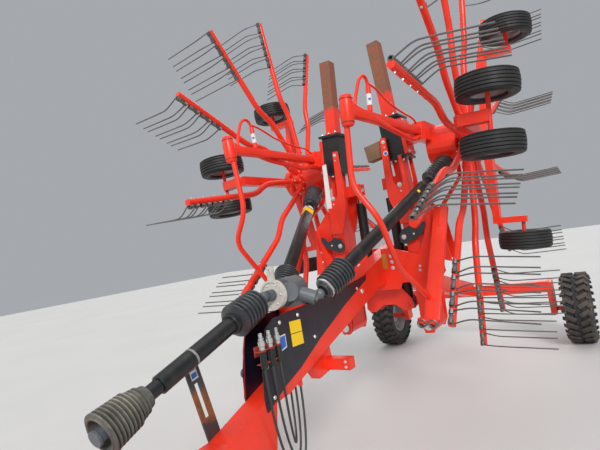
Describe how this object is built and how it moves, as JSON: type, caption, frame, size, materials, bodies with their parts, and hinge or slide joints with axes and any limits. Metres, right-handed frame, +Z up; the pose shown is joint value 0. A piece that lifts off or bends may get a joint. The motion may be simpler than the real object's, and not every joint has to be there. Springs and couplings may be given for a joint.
{
  "type": "rotary rake",
  "caption": "Towed rotary rake with both rotors folded up beside the frame, tine arms, guard tubes, drive shafts, transport wheels and a parking stand.",
  "frame": {"origin": "on the ground, on the centre line, under the arms' fold pins", "axes": "+X to the machine's side, +Y rearwards, away from the hitch, +Z up"},
  "size_m": [2.6544, 5.672, 3.5838],
  "materials": {
    "main_frame_finish": "weathered",
    "cross_plate_front_finish": "weathered",
    "cross_plate_rear_finish": "weathered",
    "arm_latch_l_finish": "weathered",
    "arm_latch_r_finish": "weathered",
    "side_guard_l_finish": "weathered",
    "side_guard_r_finish": "weathered",
    "slotted_bar_finish": "weathered",
    "central_gearbox_finish": "weathered",
    "guard_disc_finish": "weathered",
    "stand_collar_finish": "weathered",
    "hose_holder_finish": "weathered",
    "hose_1_finish": "weathered",
    "hose_2_finish": "weathered",
    "hose_3_finish": "weathered",
    "parking_stand_finish": "weathered",
    "headstock_finish": "weathered",
    "input_shaft_outer_finish": "weathered",
    "input_shaft_inner_finish": "weathered",
    "arm_beam_l_finish": "weathered",
    "arm_sleeve_l_finish": "weathered",
    "gear_head_l_finish": "weathered",
    "wheel_carrier_l_finish": "weathered",
    "guard_l_finish": "weathered",
    "rotor_l_finish": "weathered",
    "rotor_wheel_l1_tyre_finish": "dusty",
    "rotor_wheel_l1_rim_finish": "weathered",
    "rotor_wheel_l2_tyre_finish": "dusty",
    "rotor_wheel_l2_rim_finish": "weathered",
    "rotor_wheel_l3_tyre_finish": "dusty",
    "rotor_wheel_l3_rim_finish": "weathered",
    "rotor_wheel_l4_tyre_finish": "dusty",
    "rotor_wheel_l4_rim_finish": "weathered",
    "cylinder_barrel_l_finish": "weathered",
    "cylinder_rod_l_finish": "weathered",
    "drive_outer_l_finish": "weathered",
    "drive_inner_l_finish": "weathered",
    "transport_wheel_l_tyre_finish": "dusty",
    "transport_wheel_l_rim_finish": "weathered",
    "arm_beam_r_finish": "weathered",
    "arm_sleeve_r_finish": "weathered",
    "gear_head_r_finish": "weathered",
    "wheel_carrier_r_finish": "weathered",
    "guard_r_finish": "weathered",
    "rotor_r_finish": "weathered",
    "rotor_wheel_r1_tyre_finish": "dusty",
    "rotor_wheel_r1_rim_finish": "weathered",
    "rotor_wheel_r2_tyre_finish": "dusty",
    "rotor_wheel_r2_rim_finish": "weathered",
    "rotor_wheel_r3_tyre_finish": "dusty",
    "rotor_wheel_r3_rim_finish": "weathered",
    "rotor_wheel_r4_tyre_finish": "dusty",
    "rotor_wheel_r4_rim_finish": "weathered",
    "cylinder_barrel_r_finish": "weathered",
    "cylinder_rod_r_finish": "weathered",
    "drive_outer_r_finish": "weathered",
    "drive_inner_r_finish": "weathered",
    "transport_wheel_r_tyre_finish": "dusty",
    "transport_wheel_r_rim_finish": "weathered"
  },
  "bodies": {
    "chassis": {"main_frame": "main_frame_finish", "cross_plate_front": "cross_plate_front_finish", "cross_plate_rear": "cross_plate_rear_finish", "arm_latch_l": "arm_latch_l_finish", "arm_latch_r": "arm_latch_r_finish", "side_guard_l": "side_guard_l_finish", "side_guard_r": "side_guard_r_finish", "slotted_bar": "slotted_bar_finish", "central_gearbox": "central_gearbox_finish", "guard_disc": "guard_disc_finish", "stand_collar": "stand_collar_finish", "hose_holder": "hose_holder_finish", "hose_1": "hose_1_finish", "hose_2": "hose_2_finish", "hose_3": "hose_3_finish"},
    "stand": {"parking_stand": "parking_stand_finish"},
    "headstock": {"headstock": "headstock_finish"},
    "input_outer": {"input_shaft_outer": "input_shaft_outer_finish"},
    "input_inner": {"input_shaft_inner": "input_shaft_inner_finish"},
    "arm_l": {"arm_beam_l": "arm_beam_l_finish", "arm_sleeve_l": "arm_sleeve_l_finish", "gear_head_l": "gear_head_l_finish", "wheel_carrier_l": "wheel_carrier_l_finish", "guard_l": "guard_l_finish"},
    "rotor_l": {"rotor_l": "rotor_l_finish"},
    "rotor_wheel_l1": {"rotor_wheel_l1_tyre": "rotor_wheel_l1_tyre_finish", "rotor_wheel_l1_rim": "rotor_wheel_l1_rim_finish"},
    "rotor_wheel_l2": {"rotor_wheel_l2_tyre": "rotor_wheel_l2_tyre_finish", "rotor_wheel_l2_rim": "rotor_wheel_l2_rim_finish"},
    "rotor_wheel_l3": {"rotor_wheel_l3_tyre": "rotor_wheel_l3_tyre_finish", "rotor_wheel_l3_rim": "rotor_wheel_l3_rim_finish"},
    "rotor_wheel_l4": {"rotor_wheel_l4_tyre": "rotor_wheel_l4_tyre_finish", "rotor_wheel_l4_rim": "rotor_wheel_l4_rim_finish"},
    "barrel_l": {"cylinder_barrel_l": "cylinder_barrel_l_finish"},
    "rod_l": {"cylinder_rod_l": "cylinder_rod_l_finish"},
    "drive_outer_l": {"drive_outer_l": "drive_outer_l_finish"},
    "drive_inner_l": {"drive_inner_l": "drive_inner_l_finish"},
    "transport_wheel_l": {"transport_wheel_l_tyre": "transport_wheel_l_tyre_finish", "transport_wheel_l_rim": "transport_wheel_l_rim_finish"},
    "arm_r": {"arm_beam_r": "arm_beam_r_finish", "arm_sleeve_r": "arm_sleeve_r_finish", "gear_head_r": "gear_head_r_finish", "wheel_carrier_r": "wheel_carrier_r_finish", "guard_r": "guard_r_finish"},
    "rotor_r": {"rotor_r": "rotor_r_finish"},
    "rotor_wheel_r1": {"rotor_wheel_r1_tyre": "rotor_wheel_r1_tyre_finish", "rotor_wheel_r1_rim": "rotor_wheel_r1_rim_finish"},
    "rotor_wheel_r2": {"rotor_wheel_r2_tyre": "rotor_wheel_r2_tyre_finish", "rotor_wheel_r2_rim": "rotor_wheel_r2_rim_finish"},
    "rotor_wheel_r3": {"rotor_wheel_r3_tyre": "rotor_wheel_r3_tyre_finish", "rotor_wheel_r3_rim": "rotor_wheel_r3_rim_finish"},
    "rotor_wheel_r4": {"rotor_wheel_r4_tyre": "rotor_wheel_r4_tyre_finish", "rotor_wheel_r4_rim": "rotor_wheel_r4_rim_finish"},
    "barrel_r": {"cylinder_barrel_r": "cylinder_barrel_r_finish"},
    "rod_r": {"cylinder_rod_r": "cylinder_rod_r_finish"},
    "drive_outer_r": {"drive_outer_r": "drive_outer_r_finish"},
    "drive_inner_r": {"drive_inner_r": "drive_inner_r_finish"},
    "transport_wheel_r": {"transport_wheel_r_tyre": "transport_wheel_r_tyre_finish", "transport_wheel_r_rim": "transport_wheel_r_rim_finish"}
  },
  "joints": [
    {"name": "stand_slide", "type": "slide", "parent": "chassis", "child": "stand", "axis": [0, 0, 1], "range_m": [0, 0.25]},
    {"name": "headstock_swing", "type": "hinge", "parent": "chassis", "child": "headstock", "pos_m": [0, -2.6, 0.58], "axis": [0, 0, 1], "range_deg": [-60, 60]},
    {"name": "input_tilt", "type": "hinge", "parent": "chassis", "child": "input_outer", "pos_m": [0, -1.52, 1.27], "axis": [1, 0, 0], "range_deg": [-15, 4]},
    {"name": "input_extend", "type": "slide", "parent": "input_outer", "child": "input_inner", "axis": [0, -0.9552, -0.2961], "range_m": [0, 0.18]},
    {"name": "arm_fold_l", "type": "hinge", "parent": "chassis", "child": "arm_l", "pos_m": [-0.34, 0, 0.8], "axis": [0, -1, 0], "range_deg": [0, 86]},
    {"name": "rotor_spin_l", "type": "hinge", "parent": "arm_l", "child": "rotor_l", "pos_m": [-0.7, 0.24, 2.1], "axis": [-0.9976, 0, -0.0698], "continuous": true},
    {"name": "rotor_wheel_l1_spin", "type": "hinge", "parent": "arm_l", "child": "rotor_wheel_l1", "pos_m": [-1.05103, -0.53, 2.24587], "axis": [-0.0698, 0, 0.9976], "continuous": true},
    {"name": "rotor_wheel_l2_spin", "type": "hinge", "parent": "arm_l", "child": "rotor_wheel_l2", "pos_m": [-1.02731, -0.53, 1.9067], "axis": [-0.0698, 0, 0.9976], "continuous": true},
    {"name": "rotor_wheel_l3_spin", "type": "hinge", "parent": "arm_l", "child": "rotor_wheel_l3", "pos_m": [-1.09323, 0.36, 2.84939], "axis": [-0.0698, 0, 0.9976], "continuous": true},
    {"name": "rotor_wheel_l4_spin", "type": "hinge", "parent": "arm_l", "child": "rotor_wheel_l4", "pos_m": [-0.98511, 0.36, 1.30317], "axis": [-0.0698, 0, 0.9976], "continuous": true},
    {"name": "barrel_turn_l", "type": "hinge", "parent": "chassis", "child": "barrel_l", "pos_m": [-0.15, 0.05, 0.93], "axis": [0, -1, 0], "range_deg": [0, 86.09]},
    {"name": "rod_slide_l", "type": "slide", "parent": "barrel_l", "child": "rod_l", "axis": [0.021, 0, 0.9998], "range_m": [0, 0.3158]},
    {"name": "drive_swing_l", "type": "hinge", "parent": "chassis", "child": "drive_outer_l", "pos_m": [-0.14, -1.2, 1.225], "axis": [0.1169, -0.9775, 0.1754], "range_deg": [0, 90.1]},
    {"name": "drive_extend_l", "type": "slide", "parent": "drive_outer_l", "child": "drive_inner_l", "axis": [-0.288, 0.8363, 0.4666], "range_m": [0, 0.4194]},
    {"name": "transport_wheel_l_spin", "type": "hinge", "parent": "chassis", "child": "transport_wheel_l", "pos_m": [-1.1, 2.456, 0.38], "axis": [1, 0, 0], "continuous": true},
    {"name": "arm_fold_r", "type": "hinge", "parent": "chassis", "child": "arm_r", "pos_m": [0.34, 0, 0.8], "axis": [0, 1, 0], "range_deg": [0, 86]},
    {"name": "rotor_spin_r", "type": "hinge", "parent": "arm_r", "child": "rotor_r", "pos_m": [0.7, 0.24, 2.1], "axis": [0.9976, 0, -0.0698], "continuous": true},
    {"name": "rotor_wheel_r1_spin", "type": "hinge", "parent": "arm_r", "child": "rotor_wheel_r1", "pos_m": [1.05103, -0.53, 2.24587], "axis": [0.0698, 0, 0.9976], "continuous": true},
    {"name": "rotor_wheel_r2_spin", "type": "hinge", "parent": "arm_r", "child": "rotor_wheel_r2", "pos_m": [1.02731, -0.53, 1.9067], "axis": [0.0698, 0, 0.9976], "continuous": true},
    {"name": "rotor_wheel_r3_spin", "type": "hinge", "parent": "arm_r", "child": "rotor_wheel_r3", "pos_m": [1.09323, 0.36, 2.84939], "axis": [0.0698, 0, 0.9976], "continuous": true},
    {"name": "rotor_wheel_r4_spin", "type": "hinge", "parent": "arm_r", "child": "rotor_wheel_r4", "pos_m": [0.98511, 0.36, 1.30317], "axis": [0.0698, 0, 0.9976], "continuous": true},
    {"name": "barrel_turn_r", "type": "hinge", "parent": "chassis", "child": "barrel_r", "pos_m": [0.15, 0.05, 0.93], "axis": [0, 1, 0], "range_deg": [0, 86.09]},
    {"name": "rod_slide_r", "type": "slide", "parent": "barrel_r", "child": "rod_r", "axis": [-0.021, 0, 0.9998], "range_m": [0, 0.3158]},
    {"name": "drive_swing_r", "type": "hinge", "parent": "chassis", "child": "drive_outer_r", "pos_m": [0.14, -1.2, 1.225], "axis": [0.1169, 0.9775, -0.1754], "range_deg": [0, 90.1]},
    {"name": "drive_extend_r", "type": "slide", "parent": "drive_outer_r", "child": "drive_inner_r", "axis": [0.288, 0.8363, 0.4666], "range_m": [0, 0.4194]},
    {"name": "transport_wheel_r_spin", "type": "hinge", "parent": "chassis", "child": "transport_wheel_r", "pos_m": [1.1, 2.456, 0.38], "axis": [1, 0, 0], "continuous": true}
  ],
  "couplings": [
    {"joint": "barrel_turn_l", "follows": "arm_fold_l", "ratio": 1.0009},
    {"joint": "rod_slide_l", "follows": "arm_fold_l", "m_per_rad": 0.2103},
    {"joint": "drive_swing_l", "follows": "arm_fold_l", "ratio": 1.0476},
    {"joint": "drive_extend_l", "follows": "arm_fold_l", "m_per_rad": 0.27932},
    {"joint": "barrel_turn_r", "follows": "arm_fold_r", "ratio": 1.0009},
    {"joint": "rod_slide_r", "follows": "arm_fold_r", "m_per_rad": 0.2103},
    {"joint": "drive_swing_r", "follows": "arm_fold_r", "ratio": 1.0476},
    {"joint": "drive_extend_r", "follows": "arm_fold_r", "m_per_rad": 0.27932}
  ]
}
